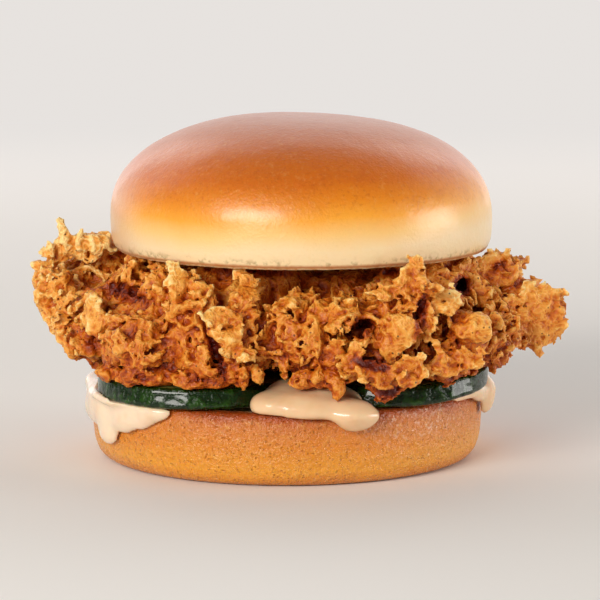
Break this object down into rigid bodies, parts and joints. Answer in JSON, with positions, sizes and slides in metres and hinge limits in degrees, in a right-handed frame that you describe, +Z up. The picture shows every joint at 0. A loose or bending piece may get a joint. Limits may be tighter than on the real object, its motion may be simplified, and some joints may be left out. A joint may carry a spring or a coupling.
{
  "type": "chicken burger",
  "caption": "A fried chicken burger: glossy bun crown, craggy crusted fillet wider than the bun, thick pickle slices, creamy sauce that drips over the rim, and a bun heel.",
  "frame": {"origin": "on the surface the burger stands on, under the middle of its bounding box", "axes": "+X to the burger's right, along its widest reach from one end of the fillet to the other; -Y is its front, where the pickles and the sauce show; +Z up"},
  "size_m": [0.148, 0.115, 0.0936],
  "materials": {
    "bun_crown": "glossy baked crust, orange-brown above and cream at the rim",
    "bun_heel": "porous baked crust, orange-tan",
    "chicken_fillet": "craggy fried batter, golden on its ridges and dark red-brown in its hollows",
    "pickle_left": "wet dark green skin round paler flesh",
    "pickle_right": "wet dark green skin round paler flesh",
    "sauce": "smooth and glossy, peach cream"
  },
  "bodies": {
    "root": {"bun_crown": "bun_crown", "bun_heel": "bun_heel", "chicken_fillet": "chicken_fillet", "pickle_left": "pickle_left", "pickle_right": "pickle_right", "sauce": "sauce"}
  },
  "joints": []
}
